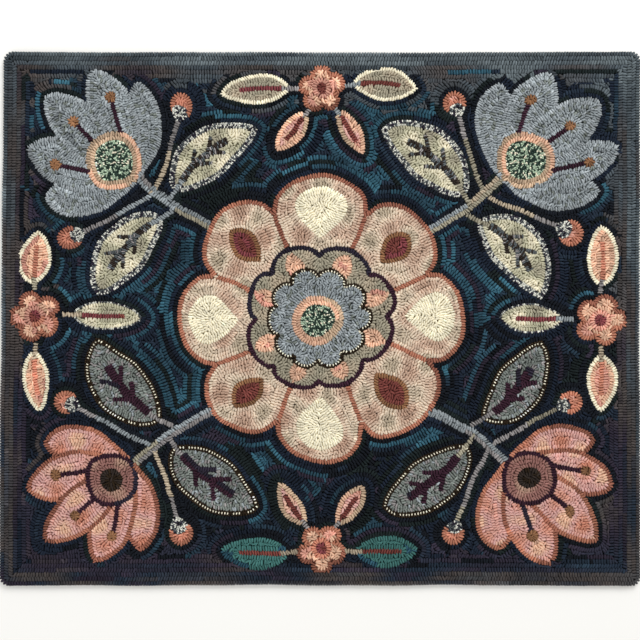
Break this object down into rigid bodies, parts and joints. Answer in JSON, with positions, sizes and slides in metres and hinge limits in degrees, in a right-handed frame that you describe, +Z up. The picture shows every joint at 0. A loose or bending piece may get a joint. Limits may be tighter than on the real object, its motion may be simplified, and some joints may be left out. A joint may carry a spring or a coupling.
{
  "type": "hooked rug",
  "caption": "Rectangular hooked wool rug lying flat with its looped pile up, with softly rounded corners, slightly wavy edges and a rolled hem.",
  "frame": {"origin": "on the floor, under the middle of the rug", "axes": "+X along the longer side, +Y towards the upper edge of the design, +Z up out of the pile"},
  "size_m": [0.914, 0.762, 0.0092],
  "materials": {
    "wool_pile": "matt dyed wool strips hooked in short loops through linen, navy and teal ground with salmon, cream and grey-blue motifs"
  },
  "bodies": {
    "root": {"hooked_rug": "wool_pile"}
  },
  "joints": []
}
